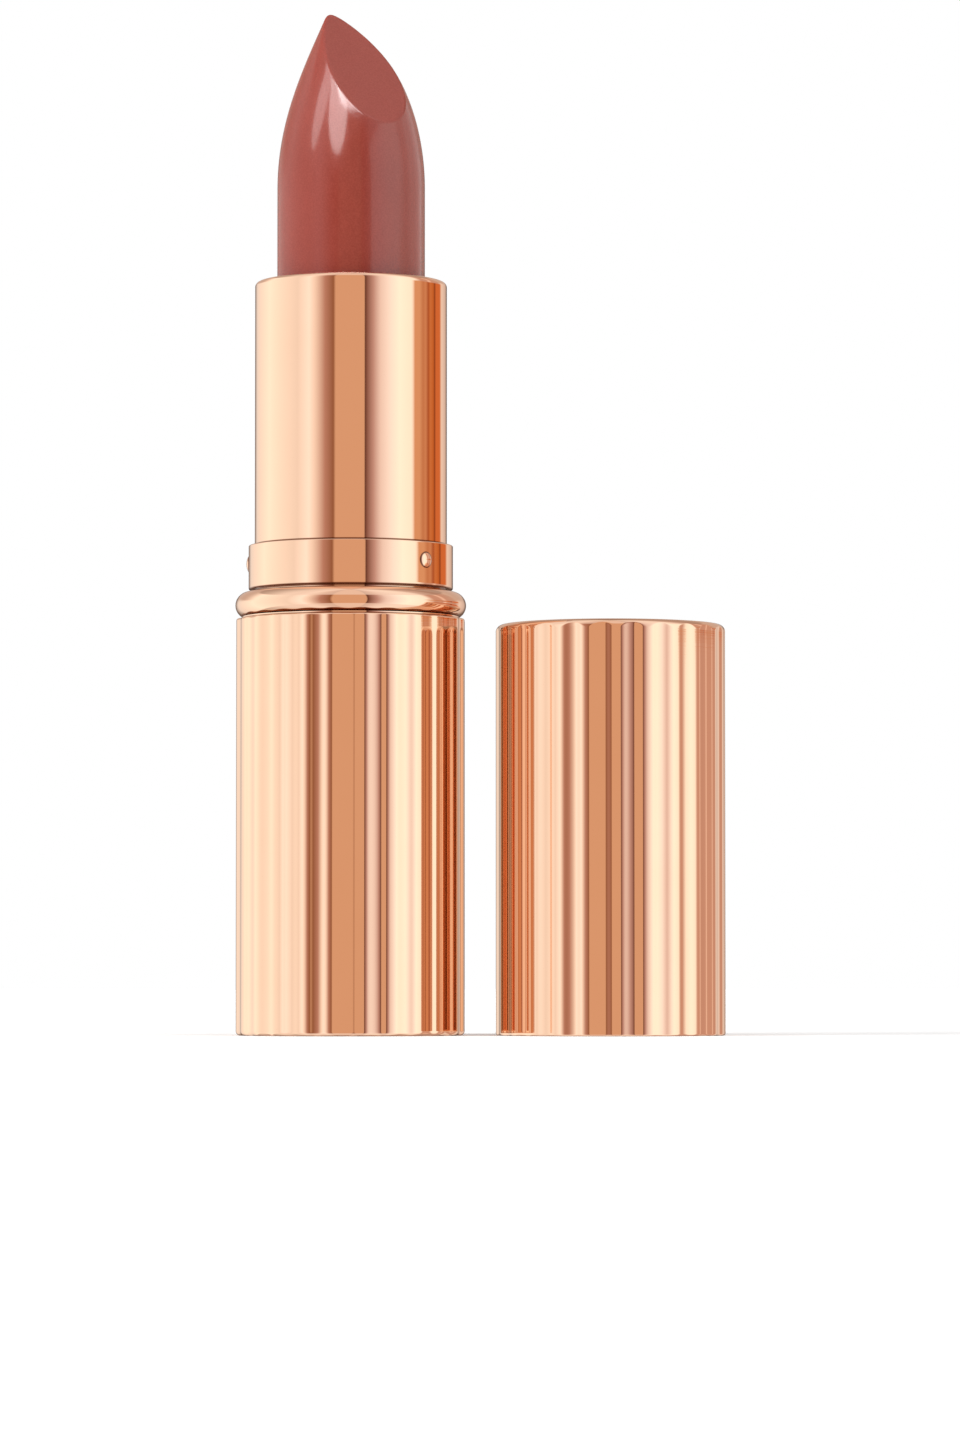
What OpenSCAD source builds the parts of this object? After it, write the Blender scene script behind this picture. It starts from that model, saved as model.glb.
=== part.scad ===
// Twist-up lipstick case: a reeded base, a turning inner tube, the bullet and a slip-on cap.
// Millimetres. The origin is the centre of the base's underside and +Z runs up the case.
// The bullet is shown fully raised, with the cap off and standing on its mouth beside the case.

/* [Case] */
// Outer radius of the base and of the cap
case_r = 9.85; // [9.75:0.05:10.1]
// Height of the base shell
base_h = 35.7; // [35:0.1:36.4]
// Length of the cap
cap_len = 35.2; // [34.6:0.1:38]
// Wall thickness of the drawn base and cap shells
shell_wall = 0.45; // [0.4:0.05:0.5]
// Distance from the axis of the case to the axis of the cap
cap_x = 22.3; // [21:0.1:40]

/* [Reeding] */
// Number of grooves round the base and the cap
groove_count = 24; // [12:1:32]
// Depth of a groove below the outer radius
groove_depth = 0.14; // [0.08:0.01:0.2]
// Radius of the round bottom of a groove
groove_r = 1.15; // [0.8:0.05:1.4]
// Angle of the first groove on the base
base_groove_angle = 14.3; // [0:0.1:30]
// Angle of the first groove on the cap
cap_groove_angle = 9.5; // [0:0.1:30]
// Plain length of the cap above its grooves
cap_plain = 1.1; // [1.1:0.1:3]

/* [Tube and collar] */
// Outer radius of the turning tube
tube_r = 8.25; // [8.2:0.01:8.3]
// Height of the tube's rim above the table
tube_top = 64.7; // [64.2:0.1:65.2]
// Outer radius of the collar that the cap slips over
collar_r = 8.77; // [8.7:0.01:8.8]
// Height of the collar's upper edge
collar_top = 42; // [41.5:0.1:44]
// Height of the pips on the collar
pip_z = 40.4; // [40:0.1:40.6]
// How far a pip stands out of the collar
pip_rise = 0.2; // [0.1:0.02:0.22]

/* [Bullet] */
// Radius of the lipstick bullet
bullet_r = 6.35; // [6.2:0.05:6.35]
// Height at which the bullet starts to taper
taper_z = 71.8; // [70:0.1:73]
// Radius of the arc that the taper follows
taper_arc_r = 31; // [29:0.5:34]
// Slope of the slanted face from level
slant_angle = 51.8; // [45:0.1:55]
// Direction that the slanted face looks in
slant_dir = -50; // [-180:1:180]
// Height at which the slanted face crosses the axis
slant_z = 85.6; // [84:0.1:86]

/* [Twist mechanism] */
// How far the bullet travels
travel = 24.5; // [20:0.1:24.5]
// Rise of the bullet for one full turn of the tube
lead = 16; // [15:0.1:18]
// Radius of the two lugs on the cup
lug_r = 0.9; // [0.7:0.05:0.95]
// Height of the lugs when the bullet is raised
lug_z = 56; // [55.8:0.1:56.2]

/* [Hidden] */
$fn = 96;
past = 1;                      // how far a cutter runs past a face
fit = 0.02;                    // gap of a glued or pressed joint
run = 0.07;                    // gap of a turning or sliding joint

shell_in_r = case_r - shell_wall;
shell_floor = 0.6;
shell_edge_r = 0.4;
lip_edge_r = 0.2;
cap_edge_r = 1;

label_r = 7;
label_t = 0.15;
weight_r = 7.9;
weight_h = 12;

tube_wall = 0.28;
tube_low = 30;
tube_lip_t = 0.5;
tube_lip_r = 6.95;
tube_edge_r = 0.4;
sleeve_r = tube_r - tube_wall - fit;
sleeve_in_r = 7.4;
sleeve_low = 29.5;
sleeve_top = tube_top - 1.1;

guide_r = sleeve_in_r - run;
guide_in_r = 6.88;
guide_low = 26.4;
foot_h = 2;
foot_r = 8.3;
guide_lip_r = 7.75;
guide_lip_low = sleeve_top + 0.1;
guide_lip_top = guide_lip_low + 0.35;
slot_gap = 0.1;

ring_r = 7.9;
ring_in_r = 7.38;
ring_low = guide_low + foot_h;
ring_top = sleeve_low - 0.06;

core_r = shell_in_r - fit;
core_bore_r = tube_r + 0.1;
core_top = base_h - 0.8;
core_web_low = guide_low - 2;
weight_pocket_r = weight_r + 0.1;

bead_minor_r = 1.15;
bead_mid_r = case_r + 0.05 - bead_minor_r;
bead_z = base_h + bead_minor_r;
bead_in_r = tube_r + 0.15;

collar_low = base_h + 2 * bead_minor_r + 0.2;
collar_edge_r = 0.25;
pip_face_r = 0.7;
pip_ball_r = (pip_face_r * pip_face_r + pip_rise * pip_rise) / (2 * pip_rise);
pip_angles = [-42, 71, 183];

cup_r = guide_in_r - 0.08;
cup_in_r = bullet_r + fit;
cup_low = 54;
cup_floor = 1;
cup_top = tube_top - 1.3;
lug_reach = sleeve_r - 0.2;
lug_inner = cup_in_r + 0.1;
bullet_top = 92;

channel_h = 2 * lug_r + 0.4;   // upright height of a cam channel
channel_low = lug_z - travel - channel_h / 2;
channel_top = lug_z + channel_h / 2;
channel_step = 6;              // degrees of turn in one slice of a channel

liner_r = shell_in_r - fit;
liner_low = 0.5;
liner_mouth_r = collar_r + 0.1;
liner_mouth_top = 5.2;
liner_bore_r = tube_r + 0.2;
liner_wall = 0.5;
liner_roof = 0.8;
liner_top = cap_len - shell_floor - 0.1;
snap_r = liner_mouth_r + 0.13;
snap_low = 1.7;
snap_top = 2.9;
mouth_flare = 0.2;

// What a round edge of radius r takes off the corner at the local origin,
// with the solid lying towards -X and in the direction of side along Y.
module edge_cut(r, side) {
    difference() {
        translate([-r, side > 0 ? -past : -r]) square([r + past, r + past]);
        translate([-r, side * r]) circle(r = r);
    }
}

// A plain ring between two heights.
module ring(r_out, r_in, low, top) {
    translate([0, 0, low]) difference() {
        cylinder(h = top - low, r = r_out);
        translate([0, 0, -past]) cylinder(h = top - low + 2 * past, r = r_in);
    }
}

// One round-bottomed groove, which ends in an arch where top is round.
module groove(low, top, round_end) {
    reach = case_r - groove_depth + groove_r;
    translate([reach, 0, low]) cylinder(h = top - low, r = groove_r);
    if (round_end) translate([reach, 0, top]) sphere(r = groove_r);
}

module reeding(low, top, first, round_end) {
    for (i = [0 : groove_count - 1])
        rotate(first + i * 360 / groove_count) groove(low, top, round_end);
}

// Half section of a drawn cup, closed at the bottom.
module cup_section(height, closed_edge_r) {
    difference() {
        square([case_r, height]);
        translate([0, shell_floor]) square([shell_in_r, height]);
        translate([case_r, 0]) edge_cut(closed_edge_r, 1);
        translate([case_r, height]) edge_cut(lip_edge_r, -1);
    }
}

module base_shell() {
    color("#d99a78") difference() {
        rotate_extrude() cup_section(base_h, shell_edge_r);
        reeding(-past, base_h + past, base_groove_angle, false);
        translate([0, 0, -past]) cylinder(h = past + label_t, r = label_r + fit);
    }
}

module base_core() {
    color("ivory") difference() {
        translate([0, 0, shell_floor]) cylinder(h = core_top - shell_floor, r = core_r);
        cylinder(h = core_web_low, r = weight_pocket_r);
        translate([0, 0, guide_low]) cylinder(h = foot_h + past, r = foot_r + fit);
        translate([0, 0, guide_low + foot_h]) cylinder(h = base_h, r = core_bore_r);
    }
}

module base_weight() {
    color("slategray") translate([0, 0, shell_floor + fit]) cylinder(h = weight_h, r = weight_r);
}

module shade_label() {
    color("mistyrose") cylinder(h = label_t, r = label_r);
}

// A half-round bead with a short skirt that drops into the mouth of the base shell.
module bead_ring() {
    color("#e0a585") rotate_extrude() {
        intersection() {
            translate([bead_mid_r, bead_z]) circle(r = bead_minor_r);
            translate([bead_in_r, base_h]) square([case_r, 2 * bead_minor_r]);
        }
        translate([bead_in_r, core_top])
            square([core_r - bead_in_r - fit, base_h - core_top]);
        translate([bead_in_r, base_h])
            square([bead_mid_r - bead_in_r, bead_minor_r]);
    }
}

module guide_tube() {
    slot_w = 2 * (lug_r + slot_gap);
    slot_low = lug_z - travel - lug_r - slot_gap;
    slot_top = lug_z + lug_r + slot_gap;
    color("whitesmoke") difference() {
        union() {
            ring(guide_r, guide_in_r, guide_low, guide_lip_top);
            ring(foot_r, guide_in_r, guide_low, guide_low + foot_h);
            ring(guide_lip_r, guide_in_r, guide_lip_low, guide_lip_top);
        }
        translate([-foot_r, -slot_w / 2, slot_low])
            cube([2 * foot_r, slot_w, slot_top - slot_low]);
    }
}

module drag_ring() {
    color("dimgray") ring(ring_r, ring_in_r, ring_low, ring_top);
}

module tube_shell() {
    color("#dd9f7d") rotate_extrude() difference() {
        translate([tube_lip_r, tube_low]) square([tube_r - tube_lip_r, tube_top - tube_low]);
        translate([0, tube_low - past])
            square([tube_r - tube_wall, tube_top - tube_lip_t - tube_low + past]);
        translate([tube_r, tube_top]) edge_cut(tube_edge_r, -1);
    }
}

// One helical channel through the wall of the cam sleeve.
module cam_channel() {
    height = channel_top - channel_low;
    half_angle = 180 * channel_h / lead;
    inner = sleeve_in_r - 0.4;
    outer = (sleeve_r + 0.2) / cos(half_angle);
    corners = [for (r = [inner, outer], side = [1, -1])
               r * [cos(half_angle), (r == inner ? side : -side) * sin(half_angle)]];
    translate([0, 0, channel_low]) rotate((channel_low - lug_z) * 360 / lead)
        linear_extrude(height = height, twist = -360 * height / lead,
                       slices = ceil(360 * height / lead / channel_step), segments = 4)
            polygon(corners);
}

module cam_sleeve() {
    color("gainsboro") difference() {
        ring(sleeve_r, sleeve_in_r, sleeve_low, sleeve_top);
        for (turn = [0, 180]) rotate(turn) cam_channel();
    }
}

module collar_band() {
    color("#e3a988") difference() {
        union() {
            rotate_extrude() difference() {
                translate([0, collar_low]) square([collar_r, collar_top - collar_low]);
                translate([collar_r, collar_top]) edge_cut(collar_edge_r, -1);
            }
            for (a = pip_angles)
                rotate(a) translate([collar_r + pip_rise - pip_ball_r, 0, pip_z])
                    sphere(r = pip_ball_r);
        }
        translate([0, 0, collar_low - past])
            cylinder(h = collar_top - collar_low + 2 * past, r = tube_r + fit);
    }
}

module carrier_cup() {
    color("white") {
        difference() {
            translate([0, 0, cup_low]) cylinder(h = cup_top - cup_low, r = cup_r);
            translate([0, 0, cup_low + cup_floor]) cylinder(h = cup_top, r = cup_in_r);
        }
        for (turn = [0, 180])
            rotate(turn) translate([lug_inner, 0, lug_z]) rotate([0, 90, 0])
                cylinder(h = lug_reach - lug_inner, r = lug_r);
    }
}

module lipstick_bullet() {
    bullet_low = cup_low + cup_floor + fit;
    color("#b0564c") difference() {
        rotate_extrude() {
            translate([0, bullet_low]) square([bullet_r, taper_z - bullet_low]);
            intersection() {
                translate([0, taper_z]) square([bullet_r, bullet_top - taper_z]);
                translate([bullet_r - taper_arc_r, taper_z]) circle(r = taper_arc_r);
            }
        }
        translate([0, 0, slant_z]) rotate([0, slant_angle, slant_dir])
            translate([-bullet_top, -bullet_top, 0]) cube(2 * bullet_top);
    }
}

module cap_shell() {
    color("#d99a78") translate([cap_x, 0, 0]) difference() {
        translate([0, 0, cap_len]) mirror([0, 0, 1])
            rotate_extrude() cup_section(cap_len, cap_edge_r);
        reeding(-past, cap_len - cap_plain - groove_r / 2, cap_groove_angle, true);
    }
}

// The liner grips the collar at its mouth and clears the tube above that.
module cap_liner() {
    upper_r = liner_bore_r + liner_wall;
    color("#caa08a") translate([cap_x, 0, 0]) rotate_extrude() polygon([
        [liner_mouth_r + mouth_flare, liner_low],
        [liner_r, liner_low],
        [liner_r, liner_mouth_top],
        [upper_r, liner_mouth_top + liner_wall],
        [upper_r, liner_top],
        [0, liner_top],
        [0, liner_top - liner_roof],
        [liner_bore_r, liner_top - liner_roof],
        [liner_bore_r, liner_mouth_top],
        [liner_mouth_r, liner_mouth_top],
        [liner_mouth_r, snap_top],
        [snap_r, snap_top],
        [snap_r, snap_low],
        [liner_mouth_r, snap_low],
        [liner_mouth_r, liner_low + mouth_flare],
    ]);
}

base_shell();
base_core();
base_weight();
shade_label();
bead_ring();
guide_tube();
drag_ring();
tube_shell();
cam_sleeve();
collar_band();
carrier_cup();
lipstick_bullet();
cap_shell();
cap_liner();
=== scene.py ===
import math

import bpy
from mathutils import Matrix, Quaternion, Vector


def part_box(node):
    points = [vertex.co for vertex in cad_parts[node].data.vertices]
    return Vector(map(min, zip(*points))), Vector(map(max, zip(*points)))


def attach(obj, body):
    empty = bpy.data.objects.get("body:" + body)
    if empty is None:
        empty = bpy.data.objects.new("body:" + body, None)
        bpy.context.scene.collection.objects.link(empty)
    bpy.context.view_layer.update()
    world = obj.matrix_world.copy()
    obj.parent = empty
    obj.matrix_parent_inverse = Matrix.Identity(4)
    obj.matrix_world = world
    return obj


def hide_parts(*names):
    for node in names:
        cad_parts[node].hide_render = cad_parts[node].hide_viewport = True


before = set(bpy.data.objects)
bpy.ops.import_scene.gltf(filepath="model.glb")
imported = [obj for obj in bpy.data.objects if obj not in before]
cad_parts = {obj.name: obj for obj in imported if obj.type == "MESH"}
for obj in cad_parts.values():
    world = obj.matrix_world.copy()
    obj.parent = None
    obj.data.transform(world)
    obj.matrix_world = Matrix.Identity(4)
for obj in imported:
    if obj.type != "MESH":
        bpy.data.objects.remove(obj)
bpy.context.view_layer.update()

mm = 0.001
tiny = 1e-7                    # closer than this counts as touching
poleShare = 0.3                # a closed flat end starts with a ring this share of the radius
print("frame loaded:", len(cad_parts), "nodes")


def deselectAll():
    bpy.ops.object.select_all(action="DESELECT")


def editMode(piece, pick="VERT"):
    # the select mode is set first, so that edges marked in code stay as they were marked
    bpy.context.tool_settings.mesh_select_mode = (pick == "VERT", pick == "EDGE", pick == "FACE")
    deselectAll()
    bpy.context.view_layer.objects.active = piece
    piece.select_set(True)
    bpy.ops.object.mode_set(mode="EDIT")


def objectMode():
    bpy.ops.object.mode_set(mode="OBJECT")


def roundOver(midRadius, midHeight, radius, startDeg, endDeg, steps):
    # points of an arc in a half section, 0 degrees points outwards and 90 up
    points = []
    for step in range(steps + 1):
        turn = math.radians(startDeg + (endDeg - startDeg) * step / steps)
        points.append((midRadius + radius * math.cos(turn), midHeight + radius * math.sin(turn)))
    return points


def onAxis(height):
    return Vector((0, 0, height))


def turnRings(name, section, columns, closed=False, centreAt=onAxis):
    # starts with a circle and extrudes it from point to point of a half section (radius, height)
    radius, height = section[0]
    deselectAll()
    bpy.ops.mesh.primitive_circle_add(vertices=columns, radius=radius, location=(0, 0, height),
                                      fill_type="NOTHING" if closed else "NGON")
    piece = bpy.context.object
    piece.name = name
    piece.data.name = name
    bpy.ops.object.transform_apply()
    editMode(piece, "EDGE" if closed else "FACE")
    bpy.ops.mesh.select_all(action="SELECT")
    for nextRadius, nextHeight in section[1:]:
        step = centreAt(nextHeight) - centreAt(height)
        bpy.ops.mesh.extrude_region_move(TRANSFORM_OT_translate={"value": step})
        grow = nextRadius / radius
        bpy.ops.transform.resize(value=(grow, grow, 1), center_override=centreAt(nextHeight))
        radius, height = nextRadius, nextHeight
    bpy.ops.mesh.select_all(action="SELECT")
    bpy.ops.mesh.remove_doubles(threshold=tiny)
    objectMode()
    return piece


def applyModifier(piece, modifier):
    deselectAll()
    piece.select_set(True)
    bpy.context.view_layer.objects.active = piece
    bpy.ops.object.modifier_apply(modifier=modifier.name)


def shiftAlongX(piece, distance):
    editMode(piece)
    bpy.ops.mesh.select_all(action="SELECT")
    bpy.ops.transform.translate(value=(distance, 0, 0))
    objectMode()


def finishPiece(piece, sharpDeg, body, slotName, *nodes):
    editMode(piece)
    bpy.ops.mesh.select_all(action="SELECT")
    bpy.ops.mesh.normals_make_consistent(inside=False)
    objectMode()
    deselectAll()
    piece.select_set(True)
    bpy.context.view_layer.objects.active = piece
    bpy.ops.object.shade_smooth_by_angle(angle=math.radians(sharpDeg))
    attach(piece, body)
    if nodes:
        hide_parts(*nodes)
    print("piece", piece.name, len(piece.data.polygons), "faces")


def centreAndRadius(node):
    low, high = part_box(node)
    return (low.x + high.x) / 2, (high.x - low.x) / 2, low.z, high.z


reeding = {
    "count": 24,
    "depth": 0.138 * mm,
    "waves": [(1, 1.0, 0.0), (2, -0.057, -0.4), (3, -0.05, 0.511)],    # multiple, height, lean
    "baseCrown": 7.33,         # degrees from +X to the crown of a rib
    "capCrown": 2.23,
    "columns": 24 * 20,
    "fade": (0.2 * mm, 0.42 * mm),     # distance inside the outer radius where the grooves end
    "archHeight": 0.42 * mm,   # the grooves end in an arch this tall
    "sharpDeg": 35,
}


def ribWave(turn):
    return sum(height * math.cos(multiple * turn + lean) for multiple, height, lean in reeding["waves"])


def pressReeds(piece, outerRadius, crown, highEnd):
    # a vertex group holds how deep each point is pressed, and a Cast modifier presses it in
    s = reeding
    grooves = piece.vertex_groups.new(name="grooves")
    fadeStart, fadeEnd = s["fade"]
    wave = [ribWave(math.radians(degrees)) for degrees in range(360)]
    crest, dip = max(wave), min(wave)
    for vert in piece.data.vertices:
        inside = outerRadius - math.hypot(vert.co.x, vert.co.y)
        if inside > fadeEnd:
            continue
        turn = s["count"] * (math.atan2(vert.co.y, vert.co.x) - math.radians(crown))
        press = (crest - ribWave(turn)) / (crest - dip)
        past = max(0.0, vert.co.z - highEnd) / s["archHeight"]
        press = (press - past * past) * min(1.0, (fadeEnd - inside) / (fadeEnd - fadeStart))
        if press > 0:
            grooves.add([vert.index], press, "REPLACE")
    pressIn = piece.modifiers.new("pressIn", "CAST")
    pressIn.cast_type = "CYLINDER"
    pressIn.vertex_group = grooves.name
    pressIn.use_radius_as_size = False
    pressIn.size = 1e-6        # every point moves straight towards the axis
    pressIn.factor = s["depth"] / outerRadius
    applyModifier(piece, pressIn)
    piece.vertex_groups.clear()


baseShell = {
    "wall": 0.45 * mm,
    "floor": 0.6 * mm,
    "labelGap": 0.02 * mm,
    "footRound": 0.38 * mm,
    "lipRound": 0.2 * mm,
    "hold": 0.08 * mm,         # plain ring beside each rounded edge
    "footSteps": 10,
    "lipSteps": 8,
}


def makeBaseShell():
    s = baseShell
    _, radius, low, high = centreAndRadius("base_shell")
    _, labelRadius, _, recessTop = centreAndRadius("shade_label")
    recess = labelRadius + s["labelGap"]
    inner = radius - s["wall"]
    foot, lip, hold = s["footRound"], s["lipRound"], s["hold"]
    section = [(recess / 2, recessTop), (recess, recessTop), (recess, low)]
    section += [(recess + hold, low), (radius - foot - hold, low)]
    section += roundOver(radius - foot, low + foot, foot, -90, 0, s["footSteps"])
    section += [(radius, low + foot + hold), (radius, (low + high) / 2), (radius, high - lip - hold)]
    section += roundOver(radius - lip, high - lip, lip, 0, 90, s["lipSteps"])
    section += [(inner + hold / 2, high), (inner, high - hold / 2)]
    floor = low + s["floor"]
    section += [(inner, floor), (inner - hold, floor), (recess / 2, floor)]
    piece = turnRings("reededBase", section, reeding["columns"])
    pressReeds(piece, radius, reeding["baseCrown"], high)
    finishPiece(piece, reeding["sharpDeg"], "base", "reeded_metal", "base_shell")
    return piece


capShell = {
    "wall": 0.45 * mm,
    "roof": 0.6 * mm,
    "shoulder": 0.64 * mm,
    "lipRound": 0.2 * mm,
    "hold": 0.08 * mm,
    "plain": 0.74 * mm,        # smooth length above the grooves
    "archLead": 0.1 * mm,      # the rows for the arches start this far below them
    "archRows": 6,
    "shoulderSteps": 30,
    "lipSteps": 8,
}


def makeCapShell():
    s = capShell
    axisX, radius, low, high = centreAndRadius("cap_shell")
    inner = radius - s["wall"]
    lip, shoulder, hold = s["lipRound"], s["shoulder"], s["hold"]
    roof = high - s["roof"]
    section = [(radius * poleShare, roof), (inner - hold, roof), (inner, roof)]
    section += [(inner, low + hold / 2), (inner + hold / 2, low)]
    section += roundOver(radius - lip, low + lip, lip, -90, 0, s["lipSteps"])
    section += [(radius, low + lip + hold), (radius, (low + high) / 2)]
    archLow = high - s["plain"] - s["archLead"]
    archStep = (high - shoulder - archLow) / s["archRows"]
    section += [(radius, archLow + archStep * row) for row in range(s["archRows"])]
    section += roundOver(radius - shoulder, high - shoulder, shoulder, 0, 90, s["shoulderSteps"])
    section += [(radius - shoulder - hold, high), (radius * poleShare, high)]
    piece = turnRings("reededCap", section, reeding["columns"])
    pressReeds(piece, radius, reeding["capCrown"], high - s["plain"])
    shiftAlongX(piece, axisX)
    finishPiece(piece, reeding["sharpDeg"], "cap", "reeded_metal", "cap_shell")
    return piece


trimBead = {
    "roundRadius": 1.15 * mm,
    "skirtGap": 0.05 * mm,     # between the skirt that sits in the base and the base's wall
    "tubeGap": 0.15 * mm,
    "arcSteps": 28,
    "columns": 256,
    "sharpDeg": 40,
}


def makeTrimBead():
    s = trimBead
    _, radius, low, high = centreAndRadius("bead_ring")
    minor = s["roundRadius"]
    mid = radius - minor
    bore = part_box("tube_shell")[1].x + s["tubeGap"]
    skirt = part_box("base_shell")[1].x - baseShell["wall"] - s["skirtGap"]
    topAngle = math.degrees(math.acos((bore - mid) / minor))
    startAngle = -math.degrees(math.acos((skirt - mid) / minor))
    section = [(bore, low), (skirt, low)]
    section += roundOver(mid, high - minor, minor, startAngle, topAngle, s["arcSteps"])
    section += [(bore, low)]
    piece = turnRings("trimBead", section, s["columns"], closed=True)
    finishPiece(piece, s["sharpDeg"], "base", "polished_metal", "bead_ring")
    return piece


collarBand = {
    "radius": 8.77 * mm,
    "wall": 0.5 * mm,
    "edgeRound": 0.1 * mm,
    "footRound": 0.12 * mm,
    "hold": 0.12 * mm,
    "edgeSteps": 8,
    "footSteps": 6,
    "columns": 256,
    "sharpDeg": 40,
    "pipTurns": (-42, 71, 183),        # degrees from +X
    "pipHeight": 40.4 * mm,
    "pipRise": 0.2 * mm,
    "pipRadius": 0.7 * mm,
    "pipSink": 0.12 * mm,
    "pipColumns": 96,
    "pipRows": 64,
    "pipFootShade": 0.06 * mm,      # the foot of a pip, above the band, darkened with painted shade
}


def makeCollarBand():
    s = collarBand
    _, _, low, high = centreAndRadius("collar_band")
    radius, foot, edge, hold = s["radius"], s["footRound"], s["edgeRound"], s["hold"]
    inner = radius - s["wall"]
    section = [(inner, low), (radius - foot - hold, low)]
    section += roundOver(radius - foot, low + foot, foot, -90, 0, s["footSteps"])
    section += [(radius, low + foot + hold), (radius, (low + high) / 2), (radius, high - edge - hold)]
    section += roundOver(radius - edge, high - edge, edge, 0, 90, s["edgeSteps"])
    section += [(inner, high), (inner, low)]
    band = turnRings("collarBand", section, s["columns"], closed=True)

    # each pip is the top of a ball, cut off just inside the band
    ball = (s["pipRadius"] ** 2 + s["pipRise"] ** 2) / (2 * s["pipRise"])
    pips = []
    for turn in s["pipTurns"]:
        out = Vector((math.cos(math.radians(turn)), math.sin(math.radians(turn)), 0))
        centre = out * (radius + s["pipRise"] - ball) + Vector((0, 0, s["pipHeight"]))
        deselectAll()
        bpy.ops.mesh.primitive_uv_sphere_add(
            segments=s["pipColumns"], ring_count=s["pipRows"], radius=ball,
            location=centre, rotation=(0, math.radians(90), math.radians(turn)))
        pip = bpy.context.object
        bpy.ops.object.transform_apply(location=True, rotation=True, scale=True)
        editMode(pip)
        bpy.ops.mesh.select_all(action="SELECT")
        sunk = out * (radius - s["pipSink"]) + Vector((0, 0, s["pipHeight"]))
        bpy.ops.mesh.bisect(plane_co=sunk, plane_no=out, clear_inner=True, use_fill=True, threshold=tiny)
        objectMode()
        # marks the foot of each pip, where the metal colour is darkened as painted shade
        shadeAndGrime = pip.data.attributes.new("pipFootShade", "FLOAT", "POINT")
        for vert in pip.data.vertices:
            above = vert.co.dot(out) - radius
            shadeAndGrime.data[vert.index].value = 1.0 if above < s["pipFootShade"] else 0.0
        pips.append(pip)
    deselectAll()
    for part in pips + [band]:
        part.select_set(True)
    bpy.context.view_layer.objects.active = band
    bpy.ops.object.join()
    finishPiece(band, s["sharpDeg"], "tube", "polished_metal", "collar_band")
    return band


innerTube = {
    "wall": 0.28 * mm,
    "lipWall": 0.5 * mm,
    "lipRadius": 6.95 * mm,
    "rimRound": 0.4 * mm,
    "lipRound": 0.2 * mm,
    "hold": 0.12 * mm,
    "rimSteps": 12,
    "lipSteps": 8,
    "columns": 256,
    "sharpDeg": 40,
}


def makeInnerTube():
    s = innerTube
    _, radius, low, high = centreAndRadius("tube_shell")
    inner = radius - s["wall"]
    lip, rim, bend, hold = s["lipRadius"], s["rimRound"], s["lipRound"], s["hold"]
    under = high - s["lipWall"]
    section = [(inner, low), (radius, low), (radius, low + hold)]
    section += [(radius, low + (high - low) * quarter / 4) for quarter in (1, 2, 3)]
    section += [(radius, high - rim - hold)]
    section += roundOver(radius - rim, high - rim, rim, 0, 90, s["rimSteps"])
    section += [(radius - rim - hold, high), (lip + bend + hold / 2, high)]
    section += roundOver(lip + bend, high - bend, bend, 90, 180, s["lipSteps"])
    section += [(lip, under), (lip + hold, under), (inner, under), (inner, low)]
    piece = turnRings("innerTube", section, s["columns"], closed=True)
    finishPiece(piece, s["sharpDeg"], "tube", "polished_metal", "tube_shell")
    return piece


capLiner = {
    "roof": 0.8 * mm,
    "roofRound": 0.25 * mm,
    "roofSteps": 4,
    "roofHold": 0.05 * mm,
    "endBevel": 0.2 * mm,
    "columns": 160,
    "sharpDeg": 40,

    # radius and height above the mouth in mm: down the bore, over the snap groove, round the mouth
    "inside": [
        (8.45, 5.0), (8.55, 4.72), (8.77, 4.7), (8.87, 4.6), (8.87, 2.5), (9.0, 2.3),
        (9.0, 1.35), (8.87, 1.15), (8.87, 0.25), (9.07, 0),
    ],
    "outside": [(9.33, 0), (9.38, 0.05), (9.38, 4.7), (8.95, 5.2)],
}


def makeCapLiner():
    s = capLiner
    axisX, _, low, high = centreAndRadius("cap_liner")
    bore, upper = s["inside"][0][0] * mm, s["outside"][-1][0] * mm
    roof, bend, bevel = high - s["roof"], s["roofRound"], s["endBevel"]
    section = [(bore * poleShare, roof), (bore - bend - s["roofHold"], roof)]
    section += roundOver(bore - bend, roof - bend, bend, 90, 0, s["roofSteps"])
    section += [(radius * mm, low + height * mm) for radius, height in s["inside"] + s["outside"]]
    section += [(upper, high - bevel), (upper - bevel, high), (bore * poleShare, high)]
    piece = turnRings("capLiner", section, s["columns"])
    shiftAlongX(piece, axisX)
    finishPiece(piece, s["sharpDeg"], "cap", "liner_plastic", "cap_liner")
    return piece


bullet = {
    "shank": 8 * mm,           # the straight length held in the cup
    "heelBevel": 0.1 * mm,
    "taperZ": 72.86 * mm,
    "taperArc": 23.1 * mm,
    "noseZ": 88.4 * mm,        # where the uncut point is closed
    "noseLean": (-1.6 * mm, 0.26 * mm),    # how far the point sits off the axis
    "leanPower": 4.65,
    "slantDeg": 54.4,          # slope of the cut from level
    "slantTurn": -58.7,        # the way it faces, in degrees from +X
    "slantZ": 86.0 * mm,       # where it crosses the axis
    "edgeRound": 0.16 * mm,
    "edgeSteps": 5,
    "band": 0.4 * mm,          # clean strip below the cut that the rounding runs in
    "faceHold": 0.1 * mm,
    "cutAlign": 0.9999,        # the cut is the face this well aligned, with more sides than this
    "cutSides": 20,
    "columns": 192,
    "taperRows": 56,
    "sharpDeg": 60,
}


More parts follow.
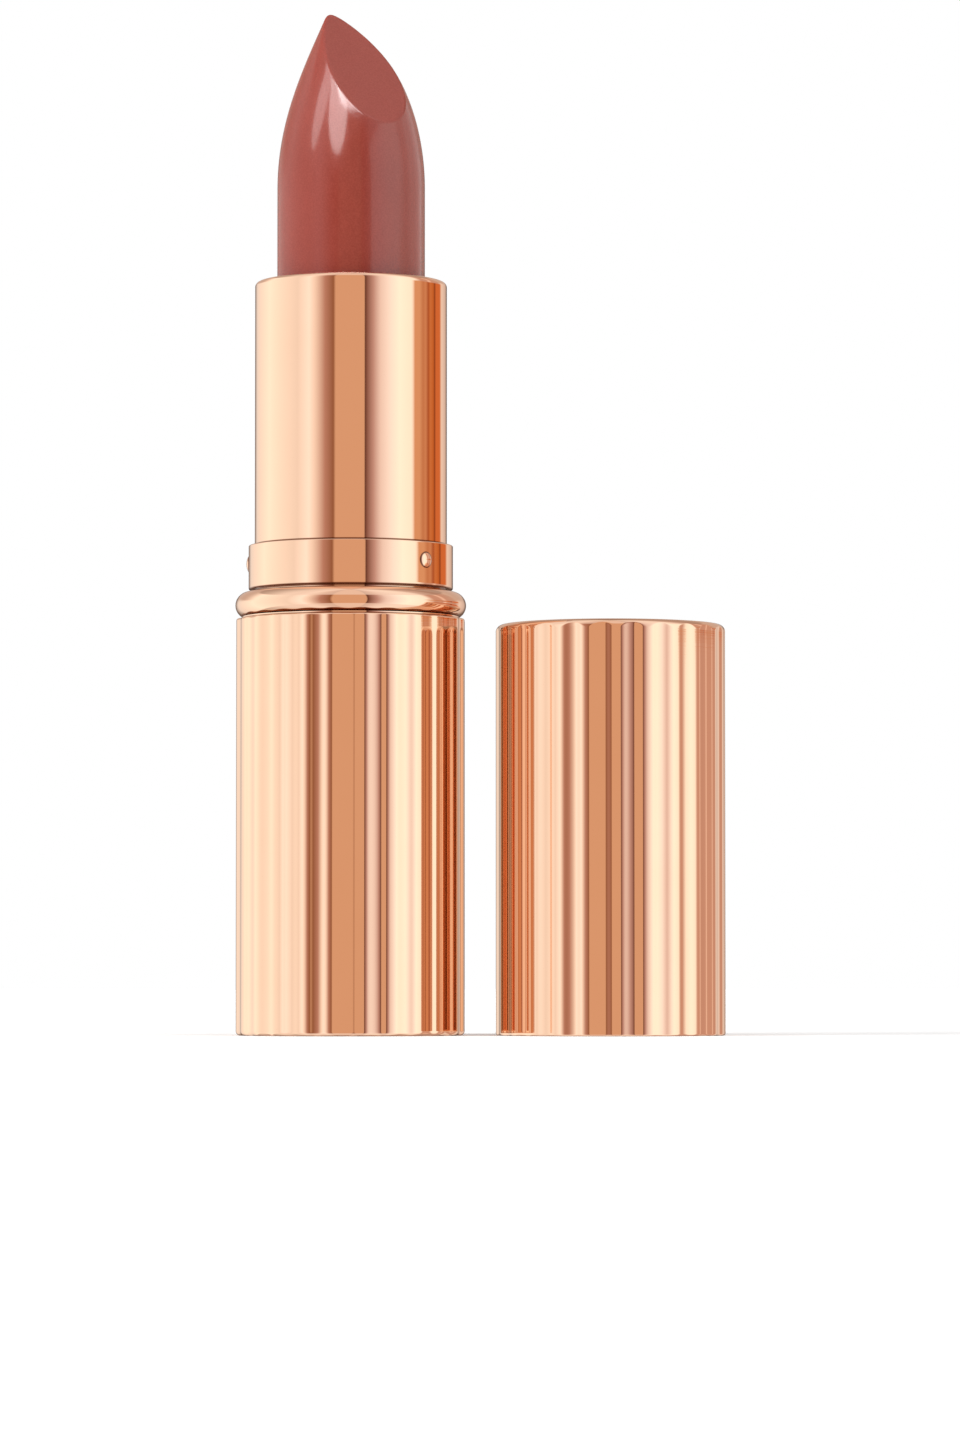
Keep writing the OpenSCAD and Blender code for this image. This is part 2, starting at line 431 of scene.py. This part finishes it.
def makeBullet():
    s = bullet
    _, radius, low, _ = centreAndRadius("lipstick_bullet")
    arcMid = radius - s["taperArc"]
    topDeg = math.degrees(math.asin((s["noseZ"] - s["taperZ"]) / s["taperArc"]))

    def centreAt(height):
        share = max(0.0, (height - s["taperZ"]) / (s["noseZ"] - s["taperZ"])) ** s["leanPower"]
        return Vector((s["noseLean"][0] * share, s["noseLean"][1] * share, height))

    section = [(radius / 2, low), (radius - s["heelBevel"], low), (radius, low + s["heelBevel"])]
    section += [(radius, low + s["shank"])]
    section += roundOver(arcMid, s["taperZ"], s["taperArc"], 0, topDeg, s["taperRows"])
    piece = turnRings("lipstickBullet", section, s["columns"], centreAt=centreAt)

    # the slanted cut, and a second ring just below it
    slope, turn = math.radians(s["slantDeg"]), math.radians(s["slantTurn"])
    level = Vector((math.cos(turn), math.sin(turn), 0))
    facing = level * math.sin(slope) + Vector((0, 0, math.cos(slope)))
    onCut = Vector((0, 0, s["slantZ"]))
    editMode(piece)
    bpy.ops.mesh.select_all(action="SELECT")
    bpy.ops.mesh.bisect(plane_co=onCut, plane_no=facing, use_fill=True, clear_outer=True,
                        threshold=tiny)
    bpy.ops.mesh.select_all(action="SELECT")
    bpy.ops.mesh.bisect(plane_co=onCut - facing * s["band"], plane_no=facing, threshold=tiny)
    bpy.ops.mesh.select_all(action="DESELECT")
    objectMode()

    # level edges between the two rings are dissolved, then the rim is rounded
    def depth(index):
        return (onCut - piece.data.vertices[index].co).dot(facing)

    for edge in piece.data.edges:
        first, second = [piece.data.vertices[index].co for index in edge.vertices]
        depths = [depth(index) for index in edge.vertices]
        inBand = min(depths) > -tiny and tiny < max(depths) < s["band"] + tiny
        edge.select = inBand and abs(first.z - second.z) < tiny
    editMode(piece, "EDGE")
    bpy.ops.mesh.dissolve_edges(use_verts=True)
    bpy.ops.mesh.select_all(action="DESELECT")
    objectMode()
    for edge in piece.data.edges:
        edge.select = max(abs(depth(index)) for index in edge.vertices) < tiny
    editMode(piece, "EDGE")
    bpy.ops.mesh.bevel(offset=s["edgeRound"], segments=s["edgeSteps"], profile=0.5,
                       clamp_overlap=False)
    bpy.ops.mesh.select_all(action="DESELECT")
    objectMode()
    for face in piece.data.polygons:
        face.select = face.normal.dot(facing) > s["cutAlign"] and len(face.vertices) > s["cutSides"]
    editMode(piece, "FACE")
    bpy.ops.mesh.inset(thickness=s["faceHold"])
    objectMode()
    finishPiece(piece, s["sharpDeg"], "carrier", "lipstick", "lipstick_bullet")
    return piece


def newGroup(name, inputs, outputs):
    group = bpy.data.node_groups.new(name, "ShaderNodeTree")
    for label, kind, value in inputs:
        made = group.interface.new_socket(name=label, in_out="INPUT", socket_type=kind)
        made.default_value = value
    for label, kind in outputs:
        group.interface.new_socket(name=label, in_out="OUTPUT", socket_type=kind)
    inside = group.nodes.new("NodeGroupInput")
    outside = group.nodes.new("NodeGroupOutput")
    return group, inside, outside


def addNode(tree, kind, **settings):
    node = tree.nodes.new(kind)
    for key, value in settings.items():
        setattr(node, key, value)
    return node


def mathNode(tree, operation, first, second=None):
    node = addNode(tree, "ShaderNodeMath", operation=operation)
    for socket, value in zip(node.inputs, (first, second)):
        if value is None:
            continue
        if isinstance(value, (int, float)):
            socket.default_value = value
        else:
            tree.links.new(value, socket)
    return node.outputs[0]


def noiseNode(tree, vector, scale, detail=2.0, roughness=0.5):
    node = addNode(tree, "ShaderNodeTexNoise")
    node.inputs["Detail"].default_value = detail
    node.inputs["Roughness"].default_value = roughness
    if isinstance(scale, (int, float)):
        node.inputs["Scale"].default_value = scale
    else:
        tree.links.new(scale, node.inputs["Scale"])
    tree.links.new(vector, node.inputs["Vector"])
    return node.outputs[0]


patchEdges = (0.35, 0.68)      # noise values between which a hazy patch comes in
fineGrain = {"detail": 3.0, "roughness": 0.6}
seamShadeCore = 0.4                 # share of a seam's reach that is fully darkened by the painted shade and grime


def makeHazeGroup():
    # soft patches of handling haze, given as a roughness
    group, inside, outside = newGroup(
        "handlingHaze",
        [("Size", "NodeSocketFloat", 220.0),
         ("Low", "NodeSocketFloat", 0.03),
         ("High", "NodeSocketFloat", 0.07)],
        [("Roughness", "NodeSocketFloat")])
    place = addNode(group, "ShaderNodeTexCoord")
    patch = noiseNode(group, place.outputs["Object"], inside.outputs["Size"], detail=4.0, roughness=0.6)
    ranged = addNode(group, "ShaderNodeMapRange", interpolation_type="SMOOTHSTEP")
    ranged.inputs["From Min"].default_value, ranged.inputs["From Max"].default_value = patchEdges
    group.links.new(patch, ranged.inputs["Value"])
    group.links.new(inside.outputs["Low"], ranged.inputs["To Min"])
    group.links.new(inside.outputs["High"], ranged.inputs["To Max"])
    group.links.new(ranged.outputs["Result"], outside.inputs["Roughness"])
    return group


def makeToneGroup():
    # two near tints mixed by slow noise, with a fine grain on top
    group, inside, outside = newGroup(
        "toneDrift",
        [("Tint A", "NodeSocketColor", (0.9, 0.6, 0.45, 1)),
         ("Tint B", "NodeSocketColor", (0.88, 0.58, 0.42, 1)),
         ("Size", "NodeSocketFloat", 90.0),
         ("Grain", "NodeSocketFloat", 4000.0),
         ("Grain Amount", "NodeSocketFloat", 0.1)],
        [("Color", "NodeSocketColor")])
    place = addNode(group, "ShaderNodeTexCoord")
    slow = noiseNode(group, place.outputs["Object"], inside.outputs["Size"], detail=3.0)
    fine = noiseNode(group, place.outputs["Object"], inside.outputs["Grain"], detail=2.0)
    fineShift = mathNode(group, "SUBTRACT", fine, 0.5)
    fineShift = mathNode(group, "MULTIPLY", fineShift, inside.outputs["Grain Amount"])
    blend = addNode(group, "ShaderNodeMix", data_type="RGBA")
    group.links.new(mathNode(group, "ADD", slow, fineShift), blend.inputs["Factor"])
    group.links.new(inside.outputs["Tint A"], blend.inputs["A"])
    group.links.new(inside.outputs["Tint B"], blend.inputs["B"])
    group.links.new(blend.outputs["Result"], outside.inputs["Color"])
    return group


def makeHairlineGroup():
    # fine polishing lines that run round the axis: a height for a Bump node
    group, inside, outside = newGroup(
        "polishLines",
        [("Across", "NodeSocketFloat", 30.0), ("Along", "NodeSocketFloat", 9000.0)],
        [("Height", "NodeSocketFloat")])
    place = addNode(group, "ShaderNodeTexCoord")
    parts = addNode(group, "ShaderNodeSeparateXYZ")
    group.links.new(place.outputs["Object"], parts.inputs[0])
    stretched = addNode(group, "ShaderNodeCombineXYZ")
    for axis, size in (("X", "Across"), ("Y", "Across"), ("Z", "Along")):
        scaled = mathNode(group, "MULTIPLY", parts.outputs[axis], inside.outputs[size])
        group.links.new(scaled, stretched.inputs[axis])
    lines = noiseNode(group, stretched.outputs[0], scale=1.0, detail=3.0, roughness=0.7)
    group.links.new(lines, outside.inputs["Height"])
    return group


def makeSeamShadeGroup():
    # painted shade and grime in a level seam: a mask that is 0 at the seam and 1 away from it
    group, inside, outside = newGroup(
        "seamShadeAndGrime",
        [("Height", "NodeSocketFloat", 0.04), ("Reach", "NodeSocketFloat", 0.0001)],
        [("Mask", "NodeSocketFloat")])
    place = addNode(group, "ShaderNodeTexCoord")
    parts = addNode(group, "ShaderNodeSeparateXYZ")
    group.links.new(place.outputs["Object"], parts.inputs[0])
    # the metal gets darker towards the seam height, as painted shade between parts with some grime
    off = mathNode(group, "SUBTRACT", parts.outputs["Z"], inside.outputs["Height"])
    ranged = addNode(group, "ShaderNodeMapRange", interpolation_type="SMOOTHSTEP")
    group.links.new(mathNode(group, "ABSOLUTE", off), ranged.inputs["Value"])
    core = mathNode(group, "MULTIPLY", inside.outputs["Reach"], seamShadeCore)
    group.links.new(core, ranged.inputs["From Min"])
    group.links.new(inside.outputs["Reach"], ranged.inputs["From Max"])
    group.links.new(ranged.outputs["Result"], outside.inputs["Mask"])
    return group


hazeGroup = makeHazeGroup()
toneGroup = makeToneGroup()
hairlineGroup = makeHairlineGroup()
seamShadeGroup = makeSeamShadeGroup()


def newMaterial(name):
    material = bpy.data.materials.new(name)
    material.use_nodes = True
    tree = material.node_tree
    tree.nodes.clear()
    shader = tree.nodes.new("ShaderNodeBsdfPrincipled")
    output = tree.nodes.new("ShaderNodeOutputMaterial")
    tree.links.new(shader.outputs["BSDF"], output.inputs["Surface"])
    return material, tree, shader


def placeGroup(tree, group, **values):
    node = tree.nodes.new("ShaderNodeGroup")
    node.node_tree = group
    for label, value in values.items():
        node.inputs[label.replace("_", " ")].default_value = value
    return node


def bumpFrom(tree, shader, height, strength, distance):
    bump = tree.nodes.new("ShaderNodeBump")
    bump.inputs["Strength"].default_value = strength
    bump.inputs["Distance"].default_value = distance
    tree.links.new(height, bump.inputs["Height"])
    tree.links.new(bump.outputs["Normal"], shader.inputs["Normal"])


def toneAndHaze(tree, shader, s):
    # links the roughness and hands back the colour
    tone = placeGroup(tree, toneGroup, Tint_A=(*s["tintA"], 1), Tint_B=(*s["tintB"], 1),
                      Size=s["driftSize"], Grain=s["grainSize"], Grain_Amount=s["grainAmount"])
    haze = placeGroup(tree, hazeGroup, Size=s["hazeSize"], Low=s["haze"][0], High=s["haze"][1])
    tree.links.new(haze.outputs["Roughness"], shader.inputs["Roughness"])
    return tone.outputs["Color"]


roseGold = {
    "reeded": {"tintA": (0.92, 0.63, 0.46), "tintB": (0.9, 0.605, 0.43), "lineStrength": 0.02},
    "polished": {"tintA": (0.93, 0.64, 0.47), "tintB": (0.91, 0.615, 0.445), "lineStrength": 0.015},
    "both": {
        "driftSize": 160.0,
        "grainSize": 6000.0,
        "grainAmount": 0.15,
        "hazeSize": 240.0,
        "haze": (0.015, 0.035),
        "linesAcross": 60.0,
        "linesAlong": 14000.0,
        "lineDepth": 0.02 * mm,
        # dark tint of the painted shade, with some grime, at the seams and pip feet
        "shadeAndGrimeTint": (0.2, 0.08, 0.045),
    },
}


def roseGoldMaterial(kind, seams):
    # seams is a list of (height, reach) where shade is painted in, with some grime
    s = {**roseGold["both"], **roseGold[kind]}
    material, tree, shader = newMaterial("roseGold_" + kind)
    tone = toneAndHaze(tree, shader, s)
    lines = placeGroup(tree, hairlineGroup, Across=s["linesAcross"], Along=s["linesAlong"])
    edge = addNode(tree, "ShaderNodeAttribute", attribute_name="pipFootShade")
    unshaded = mathNode(tree, "SUBTRACT", 1.0, edge.outputs["Fac"])
    for height, reach in seams:
        seam = placeGroup(tree, seamShadeGroup, Height=height, Reach=reach)
        unshaded = mathNode(tree, "MULTIPLY", unshaded, seam.outputs["Mask"])
    # the seams and pip feet are mixed towards the dark tint: painted shade between parts, with some grime
    shadeAndGrime = addNode(tree, "ShaderNodeMix", data_type="RGBA")
    shadeAndGrime.inputs["A"].default_value = (*s["shadeAndGrimeTint"], 1)
    tree.links.new(unshaded, shadeAndGrime.inputs["Factor"])
    tree.links.new(tone, shadeAndGrime.inputs["B"])
    tree.links.new(shadeAndGrime.outputs["Result"], shader.inputs["Base Color"])
    shader.inputs["Metallic"].default_value = 1.0
    bumpFrom(tree, shader, lines.outputs["Height"], s["lineStrength"], s["lineDepth"])
    return material


lipstickWax = {
    "tintA": (0.33, 0.054, 0.036),
    "tintB": (0.28, 0.043, 0.029),
    "driftSize": 260.0,
    "grainSize": 8000.0,
    "grainAmount": 4.0,
    "hazeSize": 420.0,
    "haze": (0.16, 0.24),
    "specular": 0.2,
    "bend": 1.46,              # index of refraction
    "coat": 0.45,
    "coatRoughness": 0.1,
    "edge": (0.15, 0.9),       # facing values over which the coat fades at the outline
    "edgeShare": 0.03,
    "under": 0.12,             # share of light that goes in and comes out again
    "underReach": (1.2 * mm, 0.5 * mm, 0.4 * mm),
    "bumpSize": 4200.0,
    "bumpStrength": 0.08,
    "bumpDepth": 0.03 * mm,
}


def lipstickMaterial():
    s = lipstickWax
    material, tree, shader = newMaterial("lipstickWax")
    tree.links.new(toneAndHaze(tree, shader, s), shader.inputs["Base Color"])
    place = tree.nodes.new("ShaderNodeTexCoord")
    grain = noiseNode(tree, place.outputs["Object"], s["bumpSize"], **fineGrain)
    bumpFrom(tree, shader, grain, s["bumpStrength"], s["bumpDepth"])

    # the glossy coat fades where the wax turns away, or its outline would go pale
    outline = addNode(tree, "ShaderNodeLayerWeight")
    outline.inputs["Blend"].default_value = 0.5
    fade = addNode(tree, "ShaderNodeMapRange", interpolation_type="SMOOTHSTEP")
    fade.inputs["From Min"].default_value, fade.inputs["From Max"].default_value = s["edge"]
    fade.inputs["To Min"].default_value = s["coat"]
    fade.inputs["To Max"].default_value = s["coat"] * s["edgeShare"]
    tree.links.new(outline.outputs["Facing"], fade.inputs["Value"])
    tree.links.new(fade.outputs["Result"], shader.inputs["Coat Weight"])
    shader.inputs["Coat Roughness"].default_value = s["coatRoughness"]
    shader.inputs["Specular IOR Level"].default_value = s["specular"]
    shader.inputs["IOR"].default_value = s["bend"]
    shader.inputs["Subsurface Weight"].default_value = s["under"]
    shader.inputs["Subsurface Radius"].default_value = s["underReach"]
    shader.inputs["Subsurface Scale"].default_value = 1.0
    return material


plastics = {
    "guide": {"tintA": (0.88, 0.86, 0.82), "tintB": (0.83, 0.8, 0.76), "haze": (0.32, 0.42), "bump": 0.12},
    "core": {"tintA": (0.86, 0.82, 0.73), "tintB": (0.8, 0.76, 0.67), "haze": (0.42, 0.55), "bump": 0.2},
    "liner": {"tintA": (0.5, 0.26, 0.19), "tintB": (0.46, 0.23, 0.16), "haze": (0.22, 0.34), "bump": 0.1},
    "silicone": {
        "tintA": (0.075, 0.075, 0.078), "tintB": (0.05, 0.05, 0.052), "haze": (0.6, 0.72), "bump": 0.25},
    "label": {"tintA": (0.62, 0.3, 0.26), "tintB": (0.57, 0.26, 0.23), "haze": (0.38, 0.5), "bump": 0.3},
    "all": {
        "driftSize": 180.0,
        "grainSize": 7000.0,
        "grainAmount": 0.5,
        "hazeSize": 300.0,
        "bumpSize": 5000.0,
        "bumpDepth": 0.04 * mm,
    },
}


def plasticMaterial(kind):
    s = {**plastics["all"], **plastics[kind]}
    material, tree, shader = newMaterial("plastic_" + kind)
    tree.links.new(toneAndHaze(tree, shader, s), shader.inputs["Base Color"])
    place = tree.nodes.new("ShaderNodeTexCoord")
    grain = noiseNode(tree, place.outputs["Object"], s["bumpSize"], **fineGrain)
    bumpFrom(tree, shader, grain, s["bump"], s["bumpDepth"])
    return material


turnedSteel = {
    "tintA": (0.56, 0.56, 0.57),
    "tintB": (0.48, 0.47, 0.47),
    "driftSize": 140.0,
    "grainSize": 5000.0,
    "grainAmount": 0.6,
    "hazeSize": 260.0,
    "haze": (0.28, 0.42),
    "linesAcross": 40.0,
    "linesAlong": 16000.0,
    "lineStrength": 0.3,
    "lineDepth": 0.03 * mm,
}


def weightMaterial():
    s = turnedSteel
    material, tree, shader = newMaterial("turnedSteel")
    tree.links.new(toneAndHaze(tree, shader, s), shader.inputs["Base Color"])
    lines = placeGroup(tree, hairlineGroup, Across=s["linesAcross"], Along=s["linesAlong"])
    shader.inputs["Metallic"].default_value = 1.0
    bumpFrom(tree, shader, lines.outputs["Height"], s["lineStrength"], s["lineDepth"])
    return material


def paint(piece, material):
    piece.data.materials.clear()
    piece.data.materials.append(material)


# how far the painted shade and grime reach above and below each seam
seamShadeReach = {"baseLip": 0.05 * mm, "beadFoot": 0.09 * mm, "collarFoot": 0.16 * mm, "collarTop": 0.12 * mm}
aboveCollar = 0.05 * mm

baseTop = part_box("base_shell")[1].z
collarFoot, collarTop = (corner.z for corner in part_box("collar_band"))
reededMetal = roseGoldMaterial("reeded", [(baseTop, seamShadeReach["baseLip"])])
polishedMetal = roseGoldMaterial("polished", [
    (baseTop, seamShadeReach["beadFoot"]),
    (collarFoot, seamShadeReach["collarFoot"]),
    (collarTop + aboveCollar, seamShadeReach["collarTop"]),
])
paint(makeBaseShell(), reededMetal)
paint(makeCapShell(), reededMetal)
paint(makeTrimBead(), polishedMetal)
paint(makeCollarBand(), polishedMetal)
paint(makeInnerTube(), polishedMetal)
bulletPiece = makeBullet()
paint(bulletPiece, lipstickMaterial())
paint(makeCapLiner(), plasticMaterial("liner"))

guidePlastic = plasticMaterial("guide")
for nodeName in ("guide_tube", "cam_sleeve", "carrier_cup"):
    paint(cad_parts[nodeName], guidePlastic)
paint(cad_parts["base_core"], plasticMaterial("core"))
paint(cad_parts["drag_ring"], plasticMaterial("silicone"))
paint(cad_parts["shade_label"], plasticMaterial("label"))
paint(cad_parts["base_weight"], weightMaterial())
print("materials placed")


studio = {
    "floorSize": 6.0,
    "floorTint": (0.9, 0.9, 0.9, 1),
    "floorRoughness": 0.9,
    "floorGlow": 0.12,         # keeps the far end of the soft shadow pale
    "ambient": 0.3,
    "reach": 1.5,              # colours below are stored divided by this, and lit by it
    "bandEnd": (0.56, 0.61),   # sine of the elevation over which the side cards give way to the dome
    "domeShare": 0.68,         # the rest of it is the cards showing through
    "domeTurn": (-0.2, 0.4),   # Y of the direction over which its front colour gives way to its back
    "domeFront": (1.0, 0.94, 0.92),
    "domeBack": (0.4, 0.31, 0.27),
    "backGlow": (0.66, 0.53, 0.46),    # behind the object, above the low dark card
    "backRise": (0.12, 0.25),
    "backReach": (0.3, 0.8),

    # bearing from the front in degrees, positive to the right, and the light's colour there
    "cards": [
        (-180, (0.14, 0.09, 0.07)), (-168, (0.18, 0.12, 0.09)), (-152, (0.95, 0.9, 0.84)),
        (-114, (1.3, 1.3, 1.25)), (-66, (1.02, 0.99, 0.95)), (-50, (1.25, 1.24, 1.24)),
        (-42, (1.02, 0.93, 0.87)), (-30, (0.55, 0.31, 0.25)), (-18.5, (0.31, 0.13, 0.06)),
        (-18.1, (0.77, 0.49, 0.33)), (17.2, (0.77, 0.49, 0.33)), (17.6, (0.08, 0.02, 0.01)),
        (20, (0.27, 0.13, 0.1)), (28, (0.6, 0.4, 0.38)), (37, (0.97, 0.89, 0.9)),
        (50, (1.15, 1.2, 1.24)), (62, (1.3, 1.4, 1.37)), (84, (1.2, 1.25, 1.2)),
        (94, (0.67, 0.42, 0.34)), (105, (0.67, 0.42, 0.34)), (110, (1.0, 0.78, 0.68)),
        (115, (0.67, 0.42, 0.34)), (130, (0.62, 0.38, 0.3)), (140, (0.95, 0.85, 0.78)),
        (158, (0.7, 0.56, 0.48)), (168, (0.18, 0.12, 0.09)), (180, (0.14, 0.09, 0.07)),
    ],

    # a tall warm card to the right, which shows between two heights only
    "warmRise": (0.058, 0.064, 0.124, 0.132),
    "warmCard": [              # the last number is how much it covers
        (78, (1.2, 1.25, 1.2), 0), (84, (0.78, 0.43, 0.24), 1), (92, (0.78, 0.43, 0.24), 1),
        (98, (0.62, 0.27, 0.13), 1), (103, (0.7, 0.33, 0.17), 1), (108, (0.45, 0.12, 0.04), 1),
        (112, (0.68, 0.24, 0.08), 1), (119, (0.6, 0.17, 0.04), 1), (122, (0.26, 0.06, 0.02), 1),
        (125, (0.7, 0.2, 0.06), 1), (136, (0.7, 0.2, 0.06), 1), (142, (0.8, 0.5, 0.3), 0),
    ],
}


def makeFloor():
    deselectAll()
    bpy.ops.mesh.primitive_plane_add(size=studio["floorSize"], location=(0, 0, 0))
    floor = bpy.context.object
    floor.name = "studioFloor"
    material, tree, shader = newMaterial("paleFloor")
    shader.inputs["Base Color"].default_value = studio["floorTint"]
    shader.inputs["Roughness"].default_value = studio["floorRoughness"]
    shader.inputs["Specular IOR Level"].default_value = 0.0
    shader.inputs["Emission Color"].default_value = (1, 1, 1, 1)
    shader.inputs["Emission Strength"].default_value = studio["floorGlow"]
    paint(floor, material)
    floor.visible_glossy = False


def bearingRamp(tree, share, stops):
    ramp = addNode(tree, "ShaderNodeValToRGB")
    marks = ramp.color_ramp.elements
    marks.remove(marks[1])
    for number, (bearing, tint, *cover) in enumerate(stops):
        place = bearing / 360 + 0.5
        mark = marks[0] if number == 0 else marks.new(place)
        mark.position = place
        mark.color = (*[part / studio["reach"] for part in tint], cover[0] if cover else 1)
    tree.links.new(share, ramp.inputs["Fac"])
    return ramp


def smoothStep(tree, value, low, high):
    step = addNode(tree, "ShaderNodeMapRange", interpolation_type="SMOOTHSTEP")
    step.inputs["From Min"].default_value = low
    step.inputs["From Max"].default_value = high
    tree.links.new(value, step.inputs["Value"])
    return step.outputs["Result"]


def mixColours(tree, factor, first, second):
    mix = addNode(tree, "ShaderNodeMix", data_type="RGBA")
    tree.links.new(factor, mix.inputs["Factor"])
    for label, value in (("A", first), ("B", second)):
        if isinstance(value, tuple):
            mix.inputs[label].default_value = (*[part / studio["reach"] for part in value], 1)
        else:
            tree.links.new(value, mix.inputs[label])
    return mix.outputs["Result"]


def makeStudioWorld():
    s = studio
    world = bpy.data.worlds.new("studioCards")
    bpy.context.scene.world = world
    world.use_nodes = True
    tree = world.node_tree
    tree.nodes.clear()
    place = addNode(tree, "ShaderNodeTexCoord")
    parts = addNode(tree, "ShaderNodeSeparateXYZ")
    tree.links.new(place.outputs["Generated"], parts.inputs[0])
    forward = mathNode(tree, "MULTIPLY", parts.outputs["Y"], -1.0)
    bearing = mathNode(tree, "ARCTAN2", parts.outputs["X"], forward)
    share = mathNode(tree, "ADD", mathNode(tree, "DIVIDE", bearing, 2 * math.pi), 0.5)
    rise = parts.outputs["Z"]

    # side cards all round, the warm card over them, and the dome above and below
    side = bearingRamp(tree, share, s["cards"]).outputs["Color"]
    warm = bearingRamp(tree, share, s["warmCard"])
    starts = smoothStep(tree, rise, *s["warmRise"][:2])
    ends = mathNode(tree, "SUBTRACT", 1.0, smoothStep(tree, rise, *s["warmRise"][2:]))
    shown = mathNode(tree, "MULTIPLY", mathNode(tree, "MULTIPLY", starts, ends), warm.outputs["Alpha"])
    side = mixColours(tree, shown, side, warm.outputs["Color"])
    behind = smoothStep(tree, parts.outputs["Y"], *s["backReach"])
    raised = mathNode(tree, "MULTIPLY", behind, smoothStep(tree, rise, *s["backRise"]))
    side = mixColours(tree, raised, side, s["backGlow"])
    turned = smoothStep(tree, parts.outputs["Y"], *s["domeTurn"])
    dome = mixColours(tree, turned, s["domeFront"], s["domeBack"])
    steep = smoothStep(tree, mathNode(tree, "ABSOLUTE", rise), *s["bandEnd"])
    steep = mathNode(tree, "MULTIPLY", steep, s["domeShare"])
    seen = mixColours(tree, steep, side, dome)

    # reflections see the cards, the camera sees plain white, and the rest is even light
    cards = addNode(tree, "ShaderNodeBackground")
    cards.inputs["Strength"].default_value = s["reach"]
    tree.links.new(seen, cards.inputs["Color"])
    even = addNode(tree, "ShaderNodeBackground")
    even.inputs["Color"].default_value = (1, 1, 1, 1)
    path = addNode(tree, "ShaderNodeLightPath")
    lit = mathNode(tree, "MULTIPLY", path.outputs["Is Camera Ray"], 1 - s["ambient"])
    tree.links.new(mathNode(tree, "ADD", lit, s["ambient"]), even.inputs["Strength"])
    choose = addNode(tree, "ShaderNodeMixShader")
    tree.links.new(path.outputs["Is Glossy Ray"], choose.inputs["Fac"])
    tree.links.new(even.outputs[0], choose.inputs[1])
    tree.links.new(cards.outputs[0], choose.inputs[2])
    output = addNode(tree, "ShaderNodeOutputWorld")
    tree.links.new(choose.outputs[0], output.inputs["Surface"])


# bearing is from the front, positive to the right, and lift is above level, both in degrees
softSuns = {
    "keyLight": {"bearing": -60, "lift": 30, "spread": 40, "strength": 1.8},
    "topLight": {"bearing": 32, "lift": 75, "spread": 50, "strength": 1.75},
}

# panels that light only the bullet: away and size are in metres, and glow is the light for that size
bulletPanels = {
    "leftGlow": {"bearing": -61, "lift": 40, "roll": -10, "away": 0.5, "size": (0.16, 0.38), "glow": 3.6},
    "rightGlow": {"bearing": -25, "lift": 40, "roll": 14, "away": 0.5, "size": (0.26, 0.4), "glow": 6.8},
    "rimPanel": {"bearing": 5, "lift": 52, "roll": 0, "away": 0.5, "size": (0.36, 0.2), "glow": 12.0},
    "facePanel": {"bearing": 93, "lift": 54, "roll": 0, "away": 0.4, "size": (0.3, 0.3), "glow": 0.35},
    "veilPanel": {"bearing": 88, "lift": 10, "roll": 0, "away": 0.3, "size": (0.86, 0.3), "glow": 0.95},
}


def awayFrom(bearing, lift):
    bearing, lift = math.radians(bearing), math.radians(lift)
    level = Vector((math.sin(bearing), -math.cos(bearing), 0))
    return level * math.cos(lift) + Vector((0, 0, math.sin(lift)))


def placeLight(name, light, away, distance, aim, roll=0):
    holder = bpy.data.objects.new(name, light)
    holder.location = aim + away * distance
    facing = (-away).to_track_quat("-Z", "Y") @ Quaternion((0, 0, 1), math.radians(roll))
    holder.rotation_euler = facing.to_euler()
    holder.visible_camera = False
    bpy.context.scene.collection.objects.link(holder)
    return holder


def makeLights(bulletPiece):
    for name, s in softSuns.items():
        light = bpy.data.lights.new(name, "SUN")
        light.angle = math.radians(s["spread"])
        light.energy = s["strength"]
        holder = placeLight(name, light, awayFrom(s["bearing"], s["lift"]), 1.0, Vector())
        holder.visible_glossy = False
    onlyBullet = bpy.data.collections.new("onlyBullet")
    onlyBullet.objects.link(bulletPiece)
    aim = Vector((0, 0, bullet["taperZ"]))
    for name, s in bulletPanels.items():
        light = bpy.data.lights.new(name, "AREA")
        light.shape = "RECTANGLE" if name == "veilPanel" else "ELLIPSE"
        light.size, light.size_y = s["size"]
        light.energy = s["glow"] * math.pi * light.size * light.size_y
        holder = placeLight(name, light, awayFrom(s["bearing"], s["lift"]), s["away"], aim, s["roll"])
        holder.visible_diffuse = False
        holder.light_linking.receiver_collection = onlyBullet


camera = {
    "place": (11.1 * mm, -500 * mm, 4.6 * mm),
    "pitchDeg": 2.52,
    "lens": 144.77,
    "sensor": 36,
    "clipStart": 0.01,
}


def makeCamera():
    s = camera
    data = bpy.data.cameras.new("camera")
    data.lens = s["lens"]
    data.sensor_width = s["sensor"]
    data.clip_start = s["clipStart"]
    holder = bpy.data.objects.new("camera", data)
    holder.location = s["place"]
    holder.rotation_euler = (math.radians(90 + s["pitchDeg"]), 0, 0)
    bpy.context.scene.collection.objects.link(holder)
    bpy.context.scene.camera = holder


makeFloor()
makeStudioWorld()
makeLights(bulletPiece)
makeCamera()
bpy.context.scene.view_settings.view_transform = "Standard"
print("studio ready")
